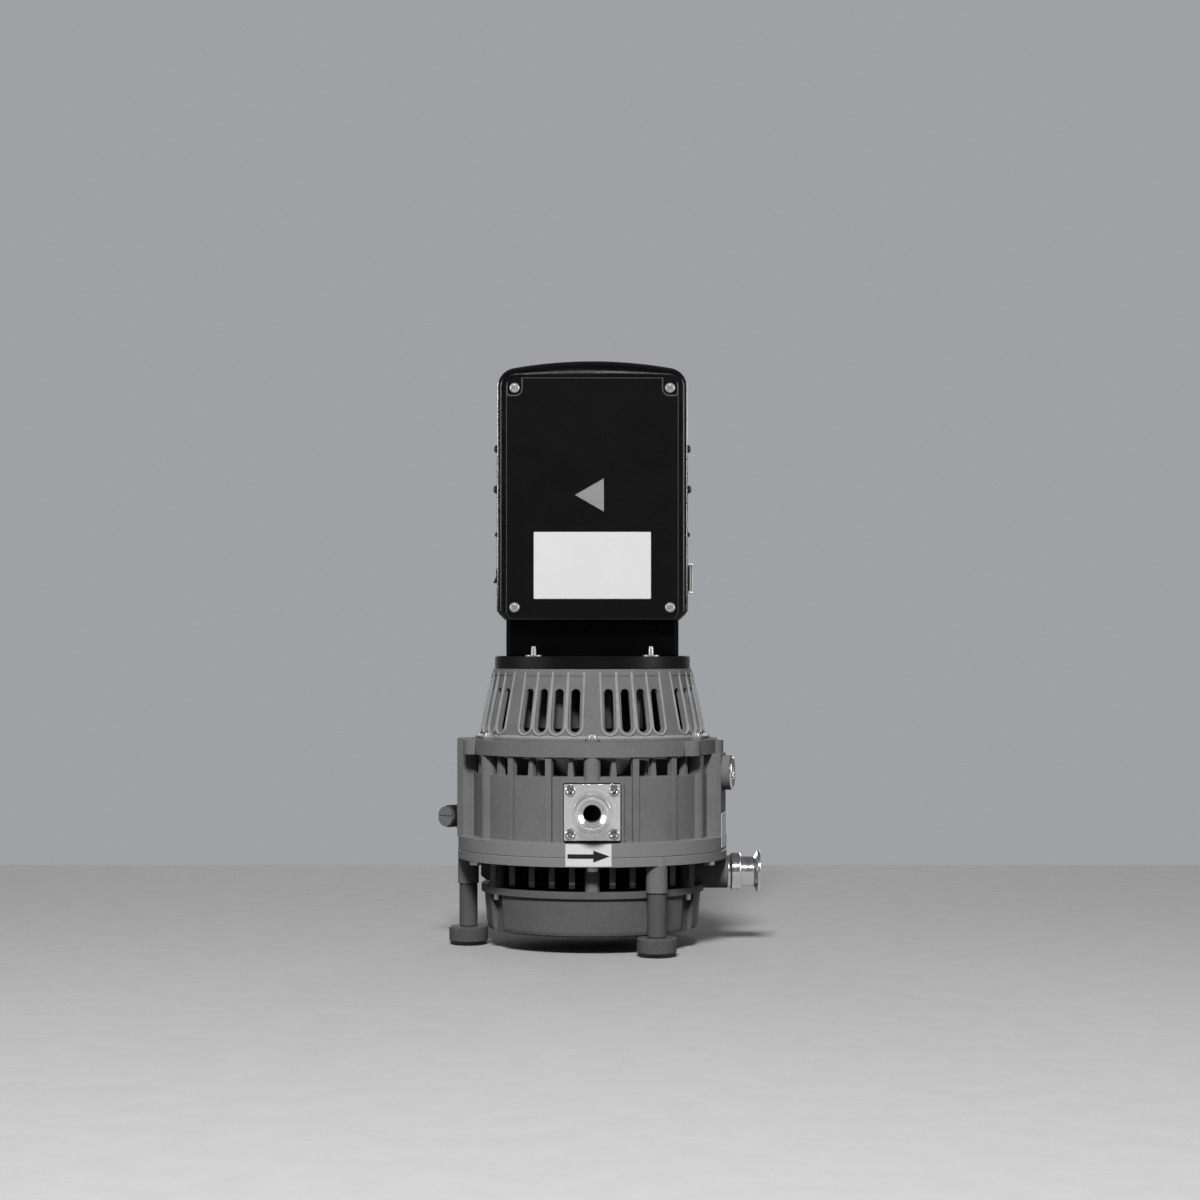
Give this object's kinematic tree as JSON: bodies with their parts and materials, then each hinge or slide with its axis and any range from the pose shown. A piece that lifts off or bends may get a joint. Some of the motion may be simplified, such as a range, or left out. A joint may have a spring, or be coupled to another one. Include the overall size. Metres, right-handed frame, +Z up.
{
  "type": "scroll vacuum pump",
  "caption": "Upright dry scroll vacuum pump on legs: drive box above a slotted fan shroud, ribbed housing, flanged side inlet and flanged front exhaust.",
  "frame": {"origin": "centre of the circle of foot bolts, on the floor plane and on the shaft axis", "axes": "+Z up along the shaft, -Y towards the front with the exhaust and the labels, +X towards the inlet"},
  "size_m": [0.3086, 0.2785, 0.5545],
  "materials": {
    "box_black": "fine texture",
    "cover_black": "fine texture",
    "neck_black": "semi matt",
    "switch_black": "satin",
    "socket_black": "matt",
    "panel_black": "satin",
    "cast_grey": "coated casting",
    "cover_grey": "coated casting",
    "leg_grey": "satin",
    "stainless": "turned and polished",
    "screw_steel": "plated",
    "dark_screw": "blackened",
    "shaft_steel": "ground",
    "bearing_steel": "ground",
    "lamination": "stamped",
    "winding_copper": "enamelled",
    "motor_cast": "as cast",
    "fan_grey": "moulded",
    "scroll_metal": "machined",
    "rubber_black": "matt",
    "label_white": "satin film",
    "plate_grey": "brushed",
    "ink_black": "print",
    "board_green": "solder mask",
    "board_grey": "moulded",
    "knob_grey": "satin"
  },
  "bodies": {
    "frame": {"drive_box_housing": "box_black", "drive_box_cover": "cover_black", "cover_screws": "screw_steel", "rating_plate": "label_white", "triangle_plate": "plate_grey", "side_panels": "panel_black", "side_screws": "dark_screw", "switch_frame": "socket_black", "power_inlet": "socket_black", "drive_board": "board_green", "board_parts": "board_grey", "motor_neck": "neck_black", "flange_plate": "neck_black", "flange_screws": "screw_steel", "motor_case": "motor_cast", "motor_stator": "lamination", "motor_windings": "winding_copper", "neck_bearing": "bearing_steel", "end_bearing": "bearing_steel", "fan_shroud": "cast_grey", "shroud_screws": "screw_steel", "main_bearing": "bearing_steel", "shaft_seal": "rubber_black", "main_housing": "cast_grey", "aux_housing_bearings": "bearing_steel", "housing_seal": "rubber_black", "fixed_scroll": "cast_grey", "ring_bolts": "screw_steel", "bottom_cover": "cover_grey", "cover_bolts": "screw_steel", "exhaust_port": "stainless", "exhaust_screws": "screw_steel", "exhaust_gasket": "rubber_black", "inlet_nozzle": "stainless", "inlet_collar": "stainless", "leg_posts": "leg_grey", "feet": "leg_grey", "foot_pads": "rubber_black", "ballast_body": "dark_screw", "side_plug": "stainless", "arrow_label": "label_white", "arrow_mark": "ink_black", "side_label": "label_white"},
    "crank": {"crankshaft": "shaft_steel", "counterweight": "shaft_steel", "motor_rotor": "lamination", "cooling_fan": "fan_grey"},
    "orbiter": {"orbiting_scroll": "scroll_metal", "crank_bearing": "bearing_steel", "aux_pin_bearings": "bearing_steel"},
    "aux_a": {"aux_crank_a": "shaft_steel"},
    "aux_b": {"aux_crank_b": "shaft_steel"},
    "aux_c": {"aux_crank_c": "shaft_steel"},
    "rocker": {"switch_rocker": "switch_black"},
    "knob": {"ballast_knob": "knob_grey"},
    "retainer": {"cord_retainer": "screw_steel"}
  },
  "joints": [
    {"name": "crank_spin", "type": "hinge", "parent": "frame", "child": "crank", "pos_m": [0, 0, 0.172], "axis": [0, 0, 1], "continuous": true},
    {"name": "orbit_turn", "type": "hinge", "parent": "crank", "child": "orbiter", "pos_m": [0.00565, 0, 0.133], "axis": [0, 0, 1], "continuous": true},
    {"name": "aux_a_spin", "type": "hinge", "parent": "frame", "child": "aux_a", "pos_m": [0.07275, -0.042, 0.145], "axis": [0, 0, 1], "continuous": true},
    {"name": "aux_b_spin", "type": "hinge", "parent": "frame", "child": "aux_b", "pos_m": [0, 0.084, 0.145], "axis": [0, 0, 1], "continuous": true},
    {"name": "aux_c_spin", "type": "hinge", "parent": "frame", "child": "aux_c", "pos_m": [-0.07275, -0.042, 0.145], "axis": [0, 0, 1], "continuous": true},
    {"name": "rocker_tilt", "type": "hinge", "parent": "frame", "child": "rocker", "pos_m": [-0.089, 0, 0.3528], "axis": [0, 1, 0], "range_deg": [-15, 0]},
    {"name": "ballast_turn", "type": "hinge", "parent": "frame", "child": "knob", "pos_m": [-0.134, 0, 0.123], "axis": [-0.6639, -0.7478, 0], "range_deg": [0, 90]},
    {"name": "retainer_swing", "type": "hinge", "parent": "frame", "child": "retainer", "pos_m": [0.0914, -0.0116, 0.351], "axis": [0, 0, 1], "range_deg": [-75, 0]}
  ],
  "couplings": [
    {"joint": "orbit_turn", "follows": "crank_spin", "ratio": -1},
    {"joint": "aux_a_spin", "follows": "crank_spin", "ratio": 1},
    {"joint": "aux_b_spin", "follows": "crank_spin", "ratio": 1},
    {"joint": "aux_c_spin", "follows": "crank_spin", "ratio": 1}
  ]
}
